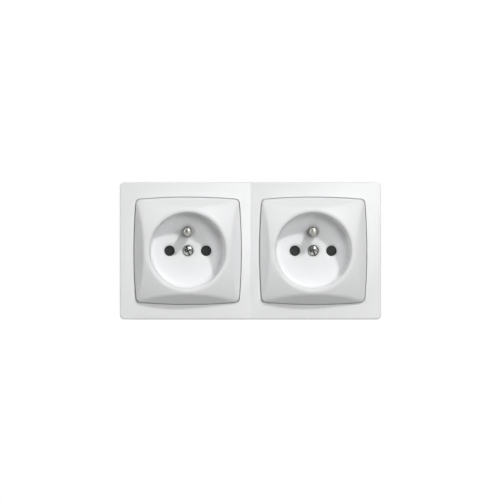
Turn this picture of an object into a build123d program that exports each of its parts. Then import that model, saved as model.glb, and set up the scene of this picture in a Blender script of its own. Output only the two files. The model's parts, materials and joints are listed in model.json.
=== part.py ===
from build123d import *
from math import asin, cos, degrees, radians, sin, sqrt, tan
import os

os.makedirs("parts", exist_ok=True)

# A surface-mounted double wall socket with male earth pins. Sizes are in millimetres and angles in degrees.
# X runs along the wall and Z up it. The wall is the plane Y = 0 and the socket stands out along -Y, so every
# depth below is a distance from the wall. Each piece of a socket is made about its own axis, at X = 0.

# Plug interface
pin_spacing = 19.0
plug_pin_d = 4.8
pin_hole_play = 0.7
earth_rise = 10.0
earth_pin_d = 4.8
earth_pin_reach = 13.6
recess_rim_d = 39.8
recess_depth = 15.0
recess_draft = 3.0

# Outline seen from the front
cover_margin = 7.8
cover_bow = 1.2
cover_corner_r = 2.5
middle_bar = 9.7
side_border = 7.55
end_border = 7.95
frame_corner_r = 2.4

# Heights above the wall
box_depth = 25.0
frame_rise = 6.5
crown_across = 1.7
crown_up = 1.3
cover_edge_drop = 0.4
cover_rise = 9.9

# Mouldings
box_wall = 2.2
box_inset = 0.6
box_draft = 0.9
cover_wall = 2.0
floor_wall = 2.4
ledge_seat = 2.0
ledge_rise = 2.5
skirt_wall = 2.3
collar_wall = 2.0
lip_wall = 1.2
lip_depth = 2.4
seam_gap = 0.35
lip_gap = 0.3
edge_r = 0.8
rim_edge_r = 0.7
cup_foot_r = 1.2
rib_wall = 1.2

# Pillow form of the covers
rim_slope = 4.0
brow_r = 5.5
dome_slope = 26.0
dome_r = 90.0
flank_slope = 60.8
flank_blend = 2.0
flank_corner_r = 6.5

# Mechanism
body_corner_r = 3.0
body_front_wall = 2.0
body_rim_wall = 2.2
chamber_wall = 1.5
rear_plate_wall = 1.6
rear_play = 0.4
shutter_space = 2.4
shutter_wall = 1.6
turning_gap = 0.1
assembly_gap = 0.3
ear_width = 14.0
ear_wall = 3.0
ear_drop = 6.2
ear_reach = 3.2
ear_play = 0.65
access_play = 0.4
chamber_play = 0.6
wing_play = 3.7
wing_cover = 0.95
ring_play = 0.75
ring_wall = 1.9
lug_width = 2.4
lug_length = 3.2
peg_r = 1.4
peg_inset = 2.8
peg_length = 4.0
pocket_width = 4.2
pocket_margin = 6.5

# Metal parts
strip_wall = 0.8
strip_width = 5.6
sleeve_wall = 0.7
sleeve_slit = 1.2
sleeve_play = 0.05
sleeve_headroom = 1.6
clamp_width = 8.0
clamp_length = 7.0
clamp_bar = 1.2
clamp_depth = 8.3
terminal_drop = 15.5
cover_screw_d = 3.0
cover_head_d = 5.6
cover_head_height = 1.1
cover_screw_length = 12.0
fixing_screw_d = 3.3
fixing_head_d = 6.2
fixing_head_height = 2.2
terminal_screw_d = 3.4
terminal_head_d = 5.4
terminal_head_height = 2.0
screw_play = 0.2
screw_tip_gap = 1.0
rivet_d = 3.2
rivet_head_d = 5.0
rivet_head_height = 0.9
rivet_play = 0.8
pin_flange_d = 7.6
pin_flange_wall = 1.8
pin_collar = 0.2
pin_collar_rise = 0.3
pin_tip_r = 1.9
spring_wire_d = 0.6
spring_bend_r = 1.9
spring_foot = 4.6
cross_length = 3.4
cross_width = 0.8
cross_depth = 0.8
contact_gap = 0.05

# Box details
slot_side_inset = 7.2
slot_end_inset = 11.05
wall_slot_length = 8.0
wall_slot_width = 4.2
cable_width = 20.0
cable_height = 34.0
knockout_width = 20.0
knockout_height = 14.0
knockout_wall = 0.9
knockout_drop = 5.0
score_width = 0.6
score_depth = 0.3
post_r = 3.6
post_web = 3.0

# How far a cut runs past the face that it opens
cut_past = 1.0

# Worked out from the sizes above
cover_width = recess_rim_d + 2 * cover_margin
cover_half = cover_width / 2
window_half = cover_half + seam_gap
rim_r = recess_rim_d / 2
floor_r = rim_r - recess_depth * tan(radians(recess_draft))
cup_r = rim_r + cover_wall / 2
pin_x = pin_spacing / 2
pin_hole_r = (plug_pin_d + pin_hole_play) / 2
pin_collar_r = earth_pin_d / 2 + pin_collar
socket_pitch = cover_width + middle_bar
socket_centres = {"left": -socket_pitch / 2, "right": socket_pitch / 2}
window_places = [(centre_x, 0, 0) for centre_x in socket_centres.values()]
frame_width = 2 * cover_width + middle_bar + 2 * side_border
frame_height = cover_width + 2 * end_border
box_width = frame_width - 2 * box_inset
box_height = frame_height - 2 * box_inset

# Depths from the wall
frame_front = box_depth + frame_rise
ledge_front = box_depth + ledge_rise
cover_edge = frame_front - cover_edge_drop
rim_depth = cover_edge + cover_rise
floor_front = rim_depth - recess_depth
floor_back = floor_front - floor_wall
body_front = floor_back - shutter_space
chamber_top = body_front - body_front_wall
ear_back = body_front - ear_drop - ear_wall
body_back = box_wall + rear_play + rear_plate_wall
strip_back = body_back + clamp_bar
strip_front = strip_back + strip_wall
clamp_front = body_back + clamp_depth
flange_back = chamber_top - pin_flange_wall
shelf_back = flange_back - strip_wall

# Places across a mechanism: chambers round the contacts, then the body round the chambers
sleeve_r = plug_pin_d / 2 + sleeve_play + sleeve_wall
bend_z = earth_rise + rivet_head_d / 2 + rivet_play
earth_terminal_rise = bend_z + strip_wall + assembly_gap + clamp_length / 2
chamber_width = clamp_width + 2 * chamber_play
contact_top = sleeve_r + chamber_play
contact_bottom = -terminal_drop - clamp_length / 2 - chamber_play
earth_bottom = earth_rise - pin_flange_d / 2 - chamber_play
earth_top = earth_terminal_rise + clamp_length / 2 + chamber_play
body_width = 2 * (pin_x + chamber_width / 2 + chamber_wall + pocket_width + body_rim_wall)
body_height = 2 * (earth_top + chamber_wall)
pocket_x = body_width / 2 - body_rim_wall - pocket_width / 2
fixing_z = box_height / 2 - box_wall - ear_play - ear_reach
fixing_places = [(0, -fixing_z), (0, fixing_z)]
terminals = [(-pin_x, -terminal_drop), (pin_x, -terminal_drop), (0, earth_terminal_rise)]

# Places round the shutter
ring_r = pin_x - pin_hole_r - ring_play
hub_r = ring_r - ring_wall - turning_gap
wing_r = pin_x + pin_hole_r + wing_cover
wing_half_angle = degrees(asin(pin_hole_r / pin_x)) + wing_play
spring_x = lug_width / 2 + spring_wire_d / 2 + contact_gap
spring_bottom = -(wing_r + spring_bend_r)
spring_post = (spring_x + spring_bend_r, spring_bottom + spring_bend_r)
spring_post_r = spring_bend_r - spring_wire_d / 2 - contact_gap


def wall_plane(depth):
    """The plane parallel to the wall at this distance from it: X across, local Y up, normal to the room."""
    return Plane.XZ.offset(depth)


def bowed_square(half, bow, corner_r):
    """The outline of a square whose sides bow out by the given amount, with rounded corners."""
    corner = half - bow
    with BuildSketch() as outline:
        with BuildLine():
            ThreePointArc((-corner, corner), (0, half), (corner, corner))
            ThreePointArc((corner, corner), (half, 0), (corner, -corner))
            ThreePointArc((corner, -corner), (0, -half), (-corner, -corner))
            ThreePointArc((-corner, -corner), (-half, 0), (-corner, corner))
        make_face()
        fillet(outline.vertices(), corner_r)
    return outline.sketch


def write_piece(piece, name):
    """Labels one piece and writes its file."""
    piece.label = name
    export_step(piece, f"parts/{name}.step")


def write_pair(piece, name):
    """Writes the piece once for each socket, on that socket's axis."""
    for side, centre_x in socket_centres.items():
        with BuildPart() as placed:
            with Locations((centre_x, 0, 0)):
                add(piece)
        write_piece(placed.part, f"{side}_{name}")


def crown_depth(offset, half, sag):
    """Depth of the crowned front at this distance from the middle of its arc."""
    arc_r = (half**2 + sag**2) / (2 * sag)
    return frame_front - arc_r + sqrt(arc_r**2 - offset**2)


# Frame: an outline with two crowned halves that meet in a soft crease at X = 0
half_width = frame_width / 2
half_height = frame_height / 2
half_pitch = socket_pitch / 2
outer_crown = crown_depth(half_width - half_pitch, half_pitch, crown_across)
middle_crown = crown_depth(half_pitch, half_pitch, crown_across)
crown_up_r = (half_height**2 + crown_up**2) / (2 * crown_up)
crown_axis = Axis((0, crown_up_r - frame_front, 0), (1, 0, 0))

with BuildPart() as crown:
    with BuildSketch(Plane.XY):
        with BuildLine():
            ThreePointArc((-half_width, -outer_crown), (-half_pitch, -frame_front), (0, -middle_crown))
            ThreePointArc((0, -middle_crown), (half_pitch, -frame_front), (half_width, -outer_crown))
            Polyline((half_width, -outer_crown), (half_width, 0), (-half_width, 0), (-half_width, -outer_crown))
        make_face()
    revolve(axis=crown_axis)

# A window for one cover: wide at the front, and narrower behind the ledge that the cover stands on
with BuildPart() as window:
    with BuildSketch(wall_plane(ledge_front)):
        add(bowed_square(window_half, cover_bow, cover_corner_r))
    extrude(amount=frame_front - ledge_front + cut_past)
    with BuildSketch(wall_plane(box_depth - lip_depth - cut_past)):
        add(bowed_square(window_half - ledge_seat, cover_bow, cover_corner_r))
    extrude(amount=frame_rise + lip_depth + cut_past)

# The frame is moulded with a hollow back: a skirt round the outside and a collar round each window
with BuildPart() as relief:
    with BuildSketch(wall_plane(box_depth - cut_past)):
        RectangleRounded(frame_width - 2 * skirt_wall, frame_height - 2 * skirt_wall, frame_corner_r / 2)
        with Locations([(centre_x, 0) for centre_x in socket_centres.values()]):
            add(bowed_square(window_half + collar_wall, cover_bow, cover_corner_r), mode=Mode.SUBTRACT)
    extrude(amount=ledge_rise + cut_past)

lip_width = box_width - 2 * box_wall - 2 * lip_gap
lip_height = box_height - 2 * box_wall - 2 * lip_gap
with BuildPart() as frame:
    with BuildSketch(wall_plane(box_depth)):
        RectangleRounded(frame_width, frame_height, frame_corner_r)
    extrude(amount=frame_rise)
    add(crown.part, mode=Mode.INTERSECT)
    crowned_faces = frame.faces().filter_by(GeomType.REVOLUTION)
    fillet(crowned_faces.edges().filter_by(lambda edge: abs(edge.center().X) > edge_r), edge_r)
    add(relief.part, mode=Mode.SUBTRACT)
    with BuildSketch(wall_plane(box_depth - lip_depth)):
        RectangleRounded(lip_width, lip_height, frame_corner_r / 2)
        Rectangle(lip_width - 2 * lip_wall, lip_height - 2 * lip_wall, mode=Mode.SUBTRACT)
    extrude(amount=lip_depth + ledge_rise)
    with Locations(window_places):
        add(window.part, mode=Mode.SUBTRACT)

write_piece(frame.part, "frame")

# Box: drafted walls that narrow towards the wall plane, posts for the mechanisms and a rear cable entry
post_rows = [(-1, -fixing_z), (1, fixing_z)]
post_places = [(x, z) for x in socket_centres.values() for sign, z in post_rows]
knockout_front = box_depth - knockout_drop
knockout_inset = 2 * (knockout_wall + knockout_drop * tan(radians(box_draft)))
knockout_middle = knockout_front - knockout_height / 2
slot_across = box_width - 2 * slot_side_inset
slot_up = box_height - 2 * slot_end_inset

# Score lines round the knock-out panels, to be taken from the outside of the box
with BuildPart() as score_lines:
    with BuildSketch(Plane.XY):
        with Locations((0, -knockout_middle)):
            Rectangle(knockout_width, knockout_height)
            Rectangle(knockout_width - 2 * score_width, knockout_height - 2 * score_width, mode=Mode.SUBTRACT)
    extrude(amount=box_height / 2, both=True)
    with BuildSketch(Plane.YZ):
        with Locations((-knockout_middle, 0)):
            Rectangle(knockout_height, knockout_width)
            Rectangle(knockout_height - 2 * score_width, knockout_width - 2 * score_width, mode=Mode.SUBTRACT)
    extrude(amount=box_width / 2, both=True)
    with BuildSketch(wall_plane(box_depth)):
        RectangleRounded(box_width - 2 * score_depth, box_height - 2 * score_depth, frame_corner_r)
    extrude(amount=-box_depth, taper=box_draft, mode=Mode.SUBTRACT)

with BuildPart() as base_box:
    with BuildSketch(wall_plane(box_depth)):
        RectangleRounded(box_width, box_height, frame_corner_r)
    extrude(amount=-box_depth, taper=box_draft)
    with BuildSketch(wall_plane(box_depth)):
        RectangleRounded(box_width - 2 * box_wall, box_height - 2 * box_wall, frame_corner_r / 2)
    extrude(amount=box_wall - box_depth, taper=box_draft, mode=Mode.SUBTRACT)
    with BuildSketch(wall_plane(box_wall)):
        with Locations(post_places):
            Circle(post_r)
        with Locations([(x, z + sign * post_r / 2) for x in socket_centres.values() for sign, z in post_rows]):
            Rectangle(post_web, post_r)
    extrude(amount=ear_back - box_wall)
    with BuildSketch(wall_plane(knockout_front)):
        Rectangle(knockout_width, box_height - knockout_inset)
        Rectangle(box_width - knockout_inset, knockout_width)
    extrude(amount=-knockout_height, taper=box_draft, mode=Mode.SUBTRACT)
    add(score_lines.part, mode=Mode.SUBTRACT)
    with BuildSketch(wall_plane(0)):
        with GridLocations(slot_across, slot_up, 2, 2):
            SlotOverall(wall_slot_length, wall_slot_width)
        RectangleRounded(cable_width, cable_height, frame_corner_r)
    extrude(amount=box_wall, mode=Mode.SUBTRACT)
    with BuildSketch(wall_plane(box_wall)):
        with Locations(post_places):
            Circle(fixing_screw_d / 2 + screw_play / 2)
    extrude(amount=ear_back - box_wall, mode=Mode.SUBTRACT)

write_piece(base_box.part, "base_box")

# Cover: a loft with bowed flanks, under a dome that turns down from the rim of the recess to the corners
flank_top = rim_depth + cut_past
flank_run = (flank_top - cover_edge) / tan(radians(flank_slope))
dome_reach = cover_half * sqrt(2)


def arc_points(start, start_slope, end_slope, radius):
    """Start, middle and end of an arc that bends down from one slope to the next; angles are in radians."""
    return [
        (
            start[0] + radius * (sin(slope) - sin(start_slope)),
            start[1] + radius * (cos(start_slope) - cos(slope)),
        )
        for slope in (start_slope, (start_slope + end_slope) / 2, end_slope)
    ]


def dome_arcs(rim_height):
    """The quick turn beside the rim and the long arc that follows it, as radii and places along Y."""
    brow = arc_points((rim_r, -rim_height), radians(rim_slope), radians(dome_slope), brow_r)
    last_slope = asin(sin(radians(dome_slope)) + (dome_reach - brow[2][0]) / dome_r)
    return brow, arc_points(brow[2], radians(dome_slope), last_slope, dome_r)


def flanks(inset):
    """The straight skirt and the sloping flanks of a cover, drawn in by a wall's thickness."""
    with BuildPart() as form:
        with BuildSketch(wall_plane(ledge_front)):
            add(bowed_square(cover_half - inset, cover_bow, cover_corner_r))
        extrude(amount=cover_edge - ledge_front)
        with BuildSketch(wall_plane(cover_edge)):
            add(bowed_square(cover_half - inset, cover_bow, cover_corner_r))
        with BuildSketch(wall_plane(flank_top)):
            add(bowed_square(cover_half - inset - flank_run, cover_bow, flank_corner_r))
        loft()
    return form.part


# The hollow under the cover, round the cup of the recess, with four ribs left standing in it
inner_brow, inner_dome = dome_arcs(rim_depth - cover_wall)
with BuildPart() as hollow:
    add(flanks(cover_wall))
    with BuildSketch(Plane.XY):
        with BuildLine():
            Polyline((0, -ledge_front), (0, inner_brow[0][1]), inner_brow[0])
            ThreePointArc(*inner_brow)
            ThreePointArc(*inner_dome)
            Polyline(inner_dome[2], (inner_dome[2][0], -ledge_front), (0, -ledge_front))
        make_face()
    revolve(axis=Axis.Y, mode=Mode.INTERSECT)
    with BuildSketch(wall_plane(ledge_front)):
        Circle(cup_r)
    extrude(amount=rim_depth - ledge_front, mode=Mode.SUBTRACT)
    with BuildSketch(wall_plane(cover_edge)):
        for angle in (45, 135):
            Rectangle(2 * dome_reach, rib_wall, rotation=angle)
    extrude(amount=cover_rise, mode=Mode.SUBTRACT)

# Everything of the cover that is turned about the socket's axis: dome, rounded rim, tapered recess and floor
outer_brow, outer_dome = dome_arcs(rim_depth)
with BuildPart() as turned:
    with BuildSketch(Plane.XY) as profile:
        with BuildLine():
            Polyline((0, -floor_back), (0, -floor_front), (floor_r, -floor_front), outer_brow[0])
            ThreePointArc(*outer_brow)
            ThreePointArc(*outer_dome)
            Polyline(outer_dome[2], (outer_dome[2][0], -floor_back), (0, -floor_back))
        make_face()
        fillet(profile.vertices().sort_by_distance((floor_r, -floor_front))[0], cup_foot_r)
        fillet(profile.vertices().sort_by_distance(outer_brow[0])[0], rim_edge_r)
    revolve(axis=Axis.Y)

with BuildPart() as cover:
    add(flanks(0))
    with BuildSketch(wall_plane(floor_back)):
        Circle(cup_r)
    extrude(amount=cover_edge - floor_back)
    add(turned.part, mode=Mode.INTERSECT)
    dome = cover.faces().filter_by(GeomType.REVOLUTION)
    fillet(dome.edges().filter_by(GeomType.BSPLINE), flank_blend)
    add(hollow.part, mode=Mode.SUBTRACT)
    with BuildSketch(wall_plane(floor_back)):
        with Locations((-pin_x, 0), (pin_x, 0)):
            Circle(pin_hole_r)
        with Locations((0, earth_rise)):
            Circle(pin_collar_r + turning_gap)
        Circle(cover_screw_d / 2 + screw_play)
    extrude(amount=floor_wall, mode=Mode.SUBTRACT)
    with BuildSketch(wall_plane(floor_front)):
        Circle(cover_head_d / 2 + screw_play)
    extrude(amount=turning_gap - cover_head_height, mode=Mode.SUBTRACT)

write_pair(cover.part, "cover")


def screw(head_back, head_d, head_height, shank_d, tip, places):
    """Screws with a bevelled, cross-recessed head, one at each place."""
    with BuildPart() as group:
        with BuildSketch(wall_plane(head_back)):
            with Locations(places):
                Circle(head_d / 2)
        extrude(amount=head_height)
        chamfer(group.faces().sort_by(Axis.Y)[0 : len(places)].edges(), head_height / 3, head_height / 2)
        with BuildSketch(wall_plane(head_back)):
            with Locations(places):
                Circle(shank_d / 2)
        extrude(amount=tip - head_back)
        with BuildSketch(wall_plane(head_back + head_height)):
            with Locations(places):
                Rectangle(cross_length, cross_width)
                Rectangle(cross_width, cross_length)
        extrude(amount=-cross_depth * head_height, mode=Mode.SUBTRACT)
    return group.part


cover_head_back = floor_front + turning_gap - cover_head_height
write_pair(
    screw(cover_head_back, cover_head_d, cover_head_height, cover_screw_d, cover_head_back - cover_screw_length,
          [(0, 0)]),
    "cover_screw",
)

# Mechanism: a moulded body, open at the back, with a chamber for each contact and its terminal
entry_height = clamp_depth - 2 * clamp_bar - strip_wall
entry_places = [(x, z / abs(z) * body_height / 2) for x, z in terminals]
peg_places = GridLocations(body_width - 2 * peg_inset, body_height - 2 * peg_inset, 2, 2)

with BuildPart() as mechanism:
    with BuildSketch(wall_plane(body_back)):
        RectangleRounded(body_width, body_height, body_corner_r)
    extrude(amount=body_front - body_back)
    with BuildSketch(wall_plane(ear_back)):
        RectangleRounded(ear_width, 2 * (fixing_z + ear_reach), ear_reach / 2)
    extrude(amount=ear_wall)
    with BuildSketch(wall_plane(body_front)):
        Circle(hub_r)
    extrude(amount=shutter_space)
    with BuildSketch(wall_plane(body_front)):
        with Locations(spring_post):
            Circle(spring_post_r)
        with Locations((spring_post[0] + spring_bend_r, spring_bottom - spring_wire_d / 2 - contact_gap)):
            Rectangle(spring_bend_r, spring_bend_r / 2, align=(Align.CENTER, Align.MAX))
    extrude(amount=(shutter_space + shutter_wall) / 2)
    with BuildSketch(wall_plane(body_back)):
        with Locations((-pin_x, contact_top), (pin_x, contact_top)):
            Rectangle(chamber_width, contact_top - contact_bottom, align=(Align.CENTER, Align.MAX))
        with Locations((0, earth_top)):
            Rectangle(chamber_width, earth_top - earth_bottom, align=(Align.CENTER, Align.MAX))
        with Locations((-pocket_x, 0), (pocket_x, 0)):
            RectangleRounded(pocket_width, body_height - 2 * pocket_margin, pocket_width / 4)
    extrude(amount=chamber_top - body_back, mode=Mode.SUBTRACT)
    with BuildSketch(wall_plane(chamber_top)):
        with Locations((-pin_x, 0), (pin_x, 0)):
            Circle(pin_hole_r + turning_gap)
        with Locations((0, earth_rise)):
            Circle(pin_collar_r + turning_gap)
        with Locations(terminals):
            Circle((terminal_head_d + access_play) / 2)
    extrude(amount=body_front_wall, mode=Mode.SUBTRACT)
    with BuildSketch(wall_plane(strip_front)):
        with Locations(entry_places):
            Rectangle(strip_width, 4 * body_rim_wall)
    extrude(amount=entry_height, mode=Mode.SUBTRACT)
    with BuildSketch(wall_plane(floor_back)):
        Circle(cover_screw_d / 2 + contact_gap)
    extrude(amount=-cover_screw_length, mode=Mode.SUBTRACT)
    with BuildSketch(wall_plane(ear_back)):
        with Locations(fixing_places):
            Circle(fixing_screw_d / 2 + screw_play)
    extrude(amount=ear_wall, mode=Mode.SUBTRACT)
    with BuildSketch(wall_plane(body_back)):
        with peg_places:
            Circle(peg_r + turning_gap)
    extrude(amount=peg_length + assembly_gap, mode=Mode.SUBTRACT)

write_pair(mechanism.part, "mechanism")

with BuildPart() as rear_plate:
    with BuildSketch(wall_plane(body_back - rear_plate_wall)):
        RectangleRounded(body_width, body_height, body_corner_r)
    extrude(amount=rear_plate_wall)
    with BuildSketch(wall_plane(body_back)):
        with peg_places:
            Circle(peg_r)
    extrude(amount=peg_length)
    chamfer(rear_plate.faces().sort_by(Axis.Y)[0:4].edges(), peg_r / 3)

write_pair(rear_plate.part, "rear_plate")

write_pair(
    screw(ear_back + ear_wall, fixing_head_d, fixing_head_height, fixing_screw_d, box_wall + screw_tip_gap,
          fixing_places),
    "fixing_screws",
)

# Shutter: a ring that turns on the hub, two wings that close the pin holes and a lug for its spring
shutter_back = body_front + (shutter_space - shutter_wall) / 2
wing_rise = 2 * wing_r * tan(radians(wing_half_angle))

with BuildPart() as shutter:
    with BuildSketch(wall_plane(shutter_back)):
        Circle(ring_r)
        Polygon((0, 0), (2 * wing_r, -wing_rise), (2 * wing_r, wing_rise), align=None)
        Polygon((0, 0), (-2 * wing_r, wing_rise), (-2 * wing_r, -wing_rise), align=None)
        Circle(wing_r, mode=Mode.INTERSECT)
        with Locations((0, -ring_r - lug_length)):
            Rectangle(lug_width, lug_length + ring_r - hub_r, align=(Align.CENTER, Align.MIN))
        Circle(hub_r + turning_gap, mode=Mode.SUBTRACT)
    extrude(amount=shutter_wall)
    wing_edges = shutter.faces().sort_by(Axis.Y)[0].edges().filter_by(GeomType.LINE)
    chamfer(wing_edges.filter_by(lambda edge: abs(edge.center().X) > ring_r), shutter_wall / 2)

write_pair(shutter.part, "shutter")

with BuildPart() as shutter_spring:
    with BuildLine(wall_plane(body_front + shutter_space / 2)) as wire_path:
        FilletPolyline(
            (spring_x, -ring_r - lug_length / 3),
            (spring_x, spring_bottom),
            (spring_x + spring_foot, spring_bottom),
            radius=spring_bend_r,
        )
    with BuildSketch(Plane(wire_path.line @ 0, z_dir=wire_path.line % 0)):
        Circle(spring_wire_d / 2)
    sweep(path=wire_path.line)

write_pair(shutter_spring.part, "shutter_spring")

# Contacts: a slit sleeve for the plug's pin, on a tail that ends in the terminal's clamp
with BuildPart() as contact:
    with BuildSketch(wall_plane(strip_back)):
        with Locations((pin_x, sleeve_r)):
            Rectangle(strip_width, sleeve_r + terminal_drop + clamp_length / 2, align=(Align.CENTER, Align.MAX))
    extrude(amount=strip_wall)
    with BuildSketch(wall_plane(strip_front)):
        with Locations((pin_x, 0)):
            Circle(sleeve_r)
            Circle(sleeve_r - sleeve_wall, mode=Mode.SUBTRACT)
            Rectangle(2 * sleeve_r, sleeve_slit, align=(Align.MIN, Align.CENTER), mode=Mode.SUBTRACT)
    extrude(amount=chamber_top - sleeve_headroom - strip_front)

with BuildPart() as mirrored_contact:
    add(mirror(contact.part, about=Plane.YZ))

write_pair(contact.part, "line_contact")
write_pair(mirrored_contact.part, "neutral_contact")

# Earth: a domed pin riveted to a strip that is bent down to its terminal
collar_front = floor_front + pin_collar_rise
with BuildPart() as earth_pin:
    for back, front, radius in (
        (shelf_back - rivet_head_height, shelf_back, rivet_head_d / 2),
        (shelf_back, flange_back, rivet_d / 2),
        (flange_back, chamber_top, pin_flange_d / 2),
        (chamber_top, collar_front, pin_collar_r),
        (collar_front, floor_front + earth_pin_reach, earth_pin_d / 2),
    ):
        with BuildSketch(wall_plane(back)):
            with Locations((0, earth_rise)):
                Circle(radius)
        extrude(amount=front - back)
    fillet(earth_pin.faces().sort_by(Axis.Y)[0].edges(), pin_tip_r)

write_pair(earth_pin.part, "earth_pin")

with BuildPart() as earth_strip:
    with BuildSketch(Plane.YZ):
        with Locations((-shelf_back, bend_z + strip_wall)):
            Rectangle(strip_wall, bend_z + strip_wall - earth_bottom, align=(Align.MAX, Align.MAX))
        with Locations((-flange_back, bend_z)):
            Rectangle(flange_back - strip_back, strip_wall, align=(Align.MIN, Align.MIN))
        with Locations((-strip_back, bend_z)):
            Rectangle(strip_wall, strip_wall + assembly_gap + clamp_length, align=(Align.MAX, Align.MIN))
    extrude(amount=strip_width / 2, both=True)
    with BuildSketch(wall_plane(shelf_back)):
        with Locations((0, earth_rise)):
            Circle(rivet_d / 2 + contact_gap)
    extrude(amount=strip_wall, mode=Mode.SUBTRACT)

write_pair(earth_strip.part, "earth_strip")

# Terminals: a cage clamp round each strip, with a screw from the front
with BuildPart() as terminal_clamps:
    with BuildSketch(wall_plane(body_back)):
        with Locations(terminals):
            Rectangle(clamp_width, clamp_length)
    extrude(amount=clamp_depth)
    with BuildSketch(wall_plane(strip_back)):
        with Locations(terminals):
            Rectangle(strip_width + 2 * contact_gap, 2 * clamp_length)
    extrude(amount=clamp_depth - 3 * clamp_bar, mode=Mode.SUBTRACT)
    with BuildSketch(wall_plane(clamp_front)):
        with Locations(terminals):
            Circle(terminal_screw_d / 2 + contact_gap)
    extrude(amount=-2 * clamp_bar, mode=Mode.SUBTRACT)

write_pair(terminal_clamps.part, "terminal_clamps")

write_pair(
    screw(clamp_front + assembly_gap, terminal_head_d, terminal_head_height, terminal_screw_d,
          strip_front + strip_wall, terminals),
    "terminal_screws",
)
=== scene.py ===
"""Surface-mounted double wall socket: finishes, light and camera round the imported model."""

import json
import math

import bmesh
import bpy
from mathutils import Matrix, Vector


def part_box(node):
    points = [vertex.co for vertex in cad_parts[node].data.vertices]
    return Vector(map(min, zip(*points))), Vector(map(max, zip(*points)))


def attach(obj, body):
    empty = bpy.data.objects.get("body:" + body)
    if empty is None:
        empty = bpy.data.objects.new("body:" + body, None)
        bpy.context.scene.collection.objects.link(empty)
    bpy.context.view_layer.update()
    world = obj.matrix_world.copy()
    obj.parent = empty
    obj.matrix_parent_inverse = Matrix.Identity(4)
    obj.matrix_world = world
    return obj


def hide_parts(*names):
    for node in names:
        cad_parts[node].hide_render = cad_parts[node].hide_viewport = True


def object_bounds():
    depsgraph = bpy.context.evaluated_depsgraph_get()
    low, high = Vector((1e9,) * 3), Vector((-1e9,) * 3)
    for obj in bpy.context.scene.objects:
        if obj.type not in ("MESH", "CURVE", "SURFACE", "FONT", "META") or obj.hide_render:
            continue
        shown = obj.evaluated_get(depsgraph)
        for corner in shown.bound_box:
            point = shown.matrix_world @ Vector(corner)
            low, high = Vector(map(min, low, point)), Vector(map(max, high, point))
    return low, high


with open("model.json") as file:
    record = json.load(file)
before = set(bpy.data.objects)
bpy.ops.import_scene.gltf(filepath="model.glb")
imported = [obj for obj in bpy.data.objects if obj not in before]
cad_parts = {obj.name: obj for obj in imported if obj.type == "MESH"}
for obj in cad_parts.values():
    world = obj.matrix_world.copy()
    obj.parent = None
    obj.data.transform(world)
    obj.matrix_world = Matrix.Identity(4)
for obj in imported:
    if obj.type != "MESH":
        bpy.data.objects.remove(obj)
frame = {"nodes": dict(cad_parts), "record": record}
cad_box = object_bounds()
nodes = frame["nodes"]
sides = ("left", "right")
mm = 0.001

# Cover screw: a raised head with one slot right across it and a cross recess under the slot
head_height = 1.1 * mm
head_edge = 0.8 * mm
edge_r = 0.12 * mm
shank_r = 1.5 * mm
tip_chamfer = 0.3 * mm
slot_turn = math.radians(22)
slot_width = 0.75 * mm
slot_depth = 0.95 * mm
cross_reach = 1.75 * mm
cross_depth = 1.1 * mm
cross_taper = 0.45
wall_width = 0.16 * mm
head_rings = 44
head_steps = 176
same_point = 1e-7

# Painted shade in the recess of the screw head: how far behind its front the colour darkens, and the share
# of its colour left there
painted_shade_from = 0.45 * mm
painted_shade_to = 0.8 * mm
painted_shade_share = 0.22

# Finishes: the span of a noise that has an effect, and clouds in a colour, in features per metre
noise_low = 0.3
noise_high = 0.7
flow_per_m = 25.0
cloud_per_m = 700.0
plastic_ior = 1.5
soft_samples = 8
housing_white = (0.86, 0.865, 0.87)

# Camera and view, in metres
picture_px = 500
px_per_m = 1935.0
lens_mm = 400.0
sensor_mm = 36.0
clip_near = 0.01
clip_far = 100
aim = Vector((-0.00023, 0.0, 0.0004))

# Lamps: the direction to each (right, towards the wall, up), its size in metres and its power in watts
lamp_distance = 2.0
lamps = {
    "key": (Vector((7.3, -15.0, 11.6)), 0.16, 16.5),
    "fill": (Vector((-15.5, -15.0, 16.0)), 0.6, 2.2),
    "side": (Vector((-15.0, -8.0, 1.0)), 0.6, 5.6),
    "top": (Vector((0.0, -6.0, 15.0)), 0.8, 3.0),
    "front": (Vector((4.0, -15.0, 2.0)), 0.6, 9.8),
    "back": (Vector((-6.0, 15.0, 8.0)), 0.6, 14.0),
    "back_right": (Vector((15.0, 12.0, 3.0)), 0.6, 10.0),
}

# A weak lamp close to the right socket, for the second spot on its earth pin
near_lamp_at = Vector((0.03, -0.30, 0.14))
near_lamp_size = 0.1
near_lamp_power = 0.018

# Strength of the surround as light, straight below and straight above
light_from_below = 0.04
light_from_above = 0.20

# Floor: its colour where it is seen and where it only throws light back, and what lifts it to white
floor_size = 1.2
floor_z = -0.16
floor_seen = 0.85
floor_bounce = 0.34
floor_lift = 0.35
floor_roughness = 0.9

# The dark cloth round the camera, which only mirrors show
cloth_distance = 3.0
cloth_radius = 3.0
cloth_corners = 64
cloth_colour = (0.02, 0.02, 0.02, 1)


def new_material(name):
    """An empty node material, with its tree and its Principled shader."""
    material = bpy.data.materials.new(name)
    material.use_nodes = True
    tree = material.node_tree
    return material, tree, tree.nodes["Principled BSDF"]


def map_range(tree, value, low, high, from_low=0.0, from_high=1.0):
    """Maps a value from one range onto another, and holds it at the ends."""
    node = tree.nodes.new("ShaderNodeMapRange")
    node.inputs["From Min"].default_value = from_low
    node.inputs["From Max"].default_value = from_high
    node.inputs["To Min"].default_value = low
    node.inputs["To Max"].default_value = high
    tree.links.new(value, node.inputs["Value"])
    return node.outputs["Result"]


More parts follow.
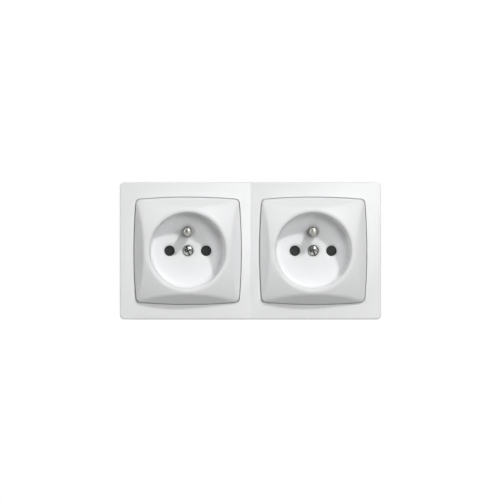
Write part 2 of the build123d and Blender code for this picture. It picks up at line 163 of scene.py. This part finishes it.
def object_noise(tree, scale, detail=2.0, roughness=0.5):
    """Noise on the piece's own coordinates, in features per metre."""
    place = tree.nodes.new("ShaderNodeTexCoord")
    noise = tree.nodes.new("ShaderNodeTexNoise")
    noise.inputs["Scale"].default_value = scale
    noise.inputs["Detail"].default_value = detail
    noise.inputs["Roughness"].default_value = roughness
    tree.links.new(place.outputs["Object"], noise.inputs["Vector"])
    return noise.outputs["Fac"]


def tint(tree, noise, low_colour, high_colour):
    """A colour that a noise varies between two close shades."""
    ramp = tree.nodes.new("ShaderNodeValToRGB")
    low, high = ramp.color_ramp.elements
    low.position = noise_low
    high.position = noise_high
    low.color = (*low_colour, 1)
    high.color = (*high_colour, 1)
    tree.links.new(noise, ramp.inputs["Fac"])
    return ramp.outputs["Color"]


def bump(tree, shader, noise, height, soft_r=0.0):
    """Fine relief of this height in metres. With soft_r, corners also look rounded by that radius."""
    relief = tree.nodes.new("ShaderNodeBump")
    if soft_r:
        soft = tree.nodes.new("ShaderNodeBevel")
        soft.samples = soft_samples
        soft.inputs["Radius"].default_value = soft_r
        tree.links.new(soft.outputs["Normal"], relief.inputs["Normal"])
    relief.inputs["Strength"].default_value = 1.0
    relief.inputs["Distance"].default_value = height
    tree.links.new(noise, relief.inputs["Height"])
    tree.links.new(relief.outputs["Normal"], shader.inputs["Normal"])


def painted_recess_shade(tree, colour, shallow, deep):
    """Painted shade: darkens a colour between two places along Y, standing in for the shade in a recess.
    """
    place = tree.nodes.new("ShaderNodeTexCoord")
    axes = tree.nodes.new("ShaderNodeSeparateXYZ")
    shade = tree.nodes.new("ShaderNodeHueSaturation")
    tree.links.new(place.outputs["Object"], axes.inputs["Vector"])
    share = map_range(tree, axes.outputs["Y"], 1.0, painted_shade_share, shallow, deep)
    tree.links.new(share, shade.inputs["Value"])
    tree.links.new(colour, shade.inputs["Color"])
    return shade.outputs["Color"]


def moulded_plastic(name, colour, shade, roughness, grain_per_m, grain_height, soft_r=0.0):
    """Injection-moulded plastic: faint flow clouds in the colour, and a fine grain in gloss and relief."""
    material, tree, shader = new_material(name)
    flow = object_noise(tree, flow_per_m, detail=3.0)
    shaded = tuple(c * shade for c in colour)
    tree.links.new(tint(tree, flow, shaded, colour), shader.inputs["Base Color"])
    grain = object_noise(tree, grain_per_m)
    gloss = map_range(tree, grain, *roughness, noise_low, noise_high)
    tree.links.new(gloss, shader.inputs["Roughness"])
    bump(tree, shader, grain, grain_height, soft_r)
    shader.inputs["IOR"].default_value = plastic_ior
    return material


def plated_metal(name, colour, dark, roughness, marks_per_m, mark_height, recess=None):
    """Plated or drawn metal with cloudy colour and tooling marks. A recess names the span along Y given
    painted shade.
    """
    material, tree, shader = new_material(name)
    cloud = object_noise(tree, cloud_per_m, detail=3.0)
    base = tint(tree, cloud, dark, colour)
    if recess:
        # painted shade: the colour darkens towards the bottom of the recess
        base = painted_recess_shade(tree, base, *recess)
    tree.links.new(base, shader.inputs["Base Color"])
    marks = object_noise(tree, marks_per_m, detail=3.0, roughness=0.6)
    gloss = map_range(tree, marks, *roughness, noise_low, noise_high)
    tree.links.new(gloss, shader.inputs["Roughness"])
    bump(tree, shader, marks, mark_height)
    shader.inputs["Metallic"].default_value = 1.0
    return material


# One finish for each material slot
finishes = {
    "housing": moulded_plastic(
        "white_housing",
        housing_white,
        shade=0.985,
        roughness=(0.30, 0.36),
        grain_per_m=9000.0,
        grain_height=1.5e-6,
    ),
    "box": moulded_plastic(
        "white_box",
        (0.84, 0.845, 0.85),
        shade=0.98,
        roughness=(0.45, 0.55),
        grain_per_m=5000.0,
        grain_height=4e-6,
    ),
    "insulator": moulded_plastic(
        "grey_insulator",
        (0.52, 0.53, 0.52),
        shade=0.95,
        roughness=(0.5, 0.6),
        grain_per_m=4000.0,
        grain_height=5e-6,
    ),
    "shutter": moulded_plastic(
        "slate_shutter",
        (0.009, 0.012, 0.013),
        shade=0.9,
        roughness=(0.4, 0.5),
        grain_per_m=6000.0,
        grain_height=3e-6,
    ),
    "zinc": plated_metal(
        "bright_zinc",
        (0.46, 0.47, 0.45),
        dark=(0.40, 0.41, 0.39),
        roughness=(0.18, 0.26),
        marks_per_m=2500.0,
        mark_height=8e-7,
    ),
    "nickel": plated_metal(
        "nickel_plate",
        (0.44, 0.435, 0.41),
        dark=(0.38, 0.375, 0.35),
        roughness=(0.26, 0.32),
        marks_per_m=2500.0,
        mark_height=8e-7,
    ),
    "brass": plated_metal(
        "formed_brass",
        (0.80, 0.62, 0.33),
        dark=(0.66, 0.48, 0.22),
        roughness=(0.22, 0.36),
        marks_per_m=5000.0,
        mark_height=3e-6,
    ),
    "spring_steel": plated_metal(
        "spring_steel",
        (0.5, 0.5, 0.5),
        dark=(0.36, 0.36, 0.36),
        roughness=(0.25, 0.4),
        marks_per_m=6000.0,
        mark_height=2e-6,
    ),
}

# The covers are the frame's white, with less gloss and softer corners
cover_finish = moulded_plastic(
    "white_cover",
    housing_white,
    shade=0.985,
    roughness=(0.42, 0.48),
    grain_per_m=9000.0,
    grain_height=1.5e-6,
    soft_r=3.2 * mm,
)

# The recess in the head of each cover screw has painted shade, darker than its face
screw_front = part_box("left_cover_screw")[0].y
screw_finish = plated_metal(
    "zinc_with_painted_recess_shade",
    (0.50, 0.51, 0.49),
    dark=(0.43, 0.44, 0.42),
    roughness=(0.2, 0.28),
    marks_per_m=2500.0,
    mark_height=6e-7,
    recess=(screw_front + painted_shade_from, screw_front + painted_shade_to),
)

for part in frame["record"]["subparts"]:
    slots = nodes[part["node"]].data.materials
    slots.clear()
    slots.append(cover_finish if part["node"].endswith("_cover") else finishes[part["material_slot"]])


def groove(distance, half_width):
    """1 inside a groove of this half width and 0 outside it, with a sloping wall between."""
    step = min(max((half_width - distance) / wall_width + 0.5, 0.0), 1.0)
    return step * step * (3 - 2 * step)


def recess_depth(x, z):
    """How far behind the front the slot and the cross reach at this place."""
    along = x * math.sin(slot_turn) - z * math.cos(slot_turn)
    across = x * math.cos(slot_turn) + z * math.sin(slot_turn)
    slot = slot_depth * groove(abs(across), slot_width / 2)
    taper = 1 - cross_taper * math.hypot(x, z) / cross_reach
    arm = groove(abs(along), slot_width / 2) * groove(abs(across), cross_reach)
    return max(slot, cross_depth * taper * arm)


def screw_profile(front, tip, head_r):
    """Radius and place along Y of the screw's outline, from its tip to the middle of its domed face."""
    head_back = front + head_height
    profile = [
        (0, tip),
        (shank_r - tip_chamfer, tip),
        (shank_r, tip - tip_chamfer),
        (shank_r, head_back + edge_r),
        (shank_r + edge_r, head_back),
        (head_r - edge_r, head_back),
        (head_r, head_back - edge_r),
        (head_r, front + head_edge + edge_r),
    ]
    dome_r = (head_r**2 + head_edge**2) / (2 * head_edge)
    for ring in range(head_rings, -1, -1):
        r = (head_r - edge_r / 2) * ring / head_rings
        profile.append((r, front + dome_r - math.sqrt(dome_r**2 - r**2)))
    return profile


def cover_screw(side):
    """The screw that holds one cover, turned from its profile, in place of the plain one."""
    node = f"{side}_cover_screw"
    low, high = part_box(node)
    centre_x = (low.x + high.x) / 2
    centre_z = (low.z + high.z) / 2
    front = low.y
    form = bmesh.new()
    chain = [form.verts.new((r, y, 0)) for r, y in screw_profile(front, high.y, (high.x - low.x) / 2)]
    edges = [form.edges.new(pair) for pair in zip(chain, chain[1:])]
    bmesh.ops.spin(
        form,
        geom=chain + edges,
        cent=(0, 0, 0),
        axis=(0, 1, 0),
        angle=math.tau,
        steps=head_steps,
        use_merge=True,
    )
    bmesh.ops.remove_doubles(form, verts=form.verts, dist=same_point)
    for vertex in form.verts:
        if vertex.co.y < front + head_edge + edge_r / 2:
            vertex.co.y = max(vertex.co.y, front + recess_depth(vertex.co.x, vertex.co.z))
    bmesh.ops.recalc_face_normals(form, faces=form.faces)
    for face in form.faces:
        face.smooth = True
    mesh = bpy.data.meshes.new(f"{side}_cover_screw_detailed")
    form.to_mesh(mesh)
    form.free()
    piece = bpy.data.objects.new(mesh.name, mesh)
    bpy.context.scene.collection.objects.link(piece)
    for vertex in mesh.vertices:
        vertex.co.x += centre_x
        vertex.co.z += centre_z
    mesh.materials.append(screw_finish)
    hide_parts(node)
    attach(piece, "housing")


def seen_directly(tree):
    """1 for rays from the camera, from mirrors and through clear pieces, and 0 where light is gathered."""
    path = tree.nodes.new("ShaderNodeLightPath")
    value = path.outputs["Is Camera Ray"]
    for kind in ("Is Glossy Ray", "Is Transmission Ray"):
        either = tree.nodes.new("ShaderNodeMath")
        either.operation = "MAXIMUM"
        tree.links.new(value, either.inputs[0])
        tree.links.new(path.outputs[kind], either.inputs[1])
        value = either.outputs[0]
    return value


def stage_material():
    """A floor that is pale to the camera and in mirrors, keeps the shadow and throws little light back."""
    material, tree, shader = new_material("pale_stage")
    seen = seen_directly(tree)
    tree.links.new(map_range(tree, seen, floor_bounce, floor_seen), shader.inputs["Base Color"])
    tree.links.new(map_range(tree, seen, 0.0, floor_lift), shader.inputs["Emission Strength"])
    shader.inputs["Emission Color"].default_value = (1, 1, 1, 1)
    shader.inputs["Roughness"].default_value = floor_roughness
    return material


def make_stage():
    """A plain pale floor below the socket."""
    bpy.ops.mesh.primitive_plane_add(size=floor_size, location=(0, 0, floor_z))
    floor = bpy.context.object
    floor.name = "floor"
    floor.data.materials.append(stage_material())


def make_cloth():
    """A dark round cloth behind the camera, which gives the metal something dark to mirror."""
    bpy.ops.mesh.primitive_circle_add(
        vertices=cloth_corners,
        radius=cloth_radius,
        fill_type="NGON",
        location=(0, -cloth_distance, 0),
        rotation=(math.pi / 2, 0, 0),
    )
    cloth = bpy.context.object
    cloth.name = "dark_cloth"
    material, tree, shader = new_material("dark_cloth")
    shader.inputs["Base Color"].default_value = cloth_colour
    shader.inputs["Roughness"].default_value = 1.0
    cloth.data.materials.append(material)
    cloth.visible_camera = False
    cloth.visible_diffuse = False
    cloth.visible_shadow = False


def make_world():
    """Studio surround: white to the camera and in mirrors. As light it is soft above and weak below."""
    world = bpy.data.worlds.new("studio")
    bpy.context.scene.world = world
    world.use_nodes = True
    tree = world.node_tree
    surround = tree.nodes["Background"]
    surround.inputs["Color"].default_value = (1, 1, 1, 1)
    place = tree.nodes.new("ShaderNodeTexCoord")
    axes = tree.nodes.new("ShaderNodeSeparateXYZ")
    tree.links.new(place.outputs["Generated"], axes.inputs["Vector"])
    strength = tree.nodes.new("ShaderNodeMix")
    strength.inputs["B"].default_value = 1.0
    graded = map_range(tree, axes.outputs["Z"], light_from_below, light_from_above, from_low=-1.0)
    tree.links.new(graded, strength.inputs["A"])
    tree.links.new(seen_directly(tree), strength.inputs["Factor"])
    tree.links.new(strength.outputs["Result"], surround.inputs["Strength"])


def make_light(name, place, size, power):
    """A round softbox that faces the socket and isn't seen by the camera."""
    light = bpy.data.lights.new(name, "AREA")
    light.shape = "DISK"
    light.size = size
    light.energy = power
    lamp = bpy.data.objects.new(name, light)
    lamp.location = place
    lamp.rotation_euler = (-place).to_track_quat("-Z", "Y").to_euler()
    lamp.visible_camera = False
    bpy.context.scene.collection.objects.link(lamp)


def make_camera():
    """Straight front view through a long lens."""
    data = bpy.data.cameras.new("camera")
    data.lens = lens_mm
    data.sensor_width = sensor_mm
    data.clip_start = clip_near
    data.clip_end = clip_far
    camera = bpy.data.objects.new("camera", data)
    view_width = picture_px / px_per_m
    distance = view_width * lens_mm / sensor_mm
    camera.location = (aim.x, cad_box[0].y - distance, aim.z)
    camera.rotation_euler = (math.radians(90), 0, 0)
    bpy.context.scene.collection.objects.link(camera)
    bpy.context.scene.camera = camera


for side in sides:
    cover_screw(side)
make_stage()
make_cloth()
make_world()
for name, (direction, size, power) in lamps.items():
    make_light(name, direction.normalized() * lamp_distance, size, power)
make_light("near", near_lamp_at, near_lamp_size, near_lamp_power)
make_camera()
bpy.context.scene.view_settings.view_transform = "Standard"
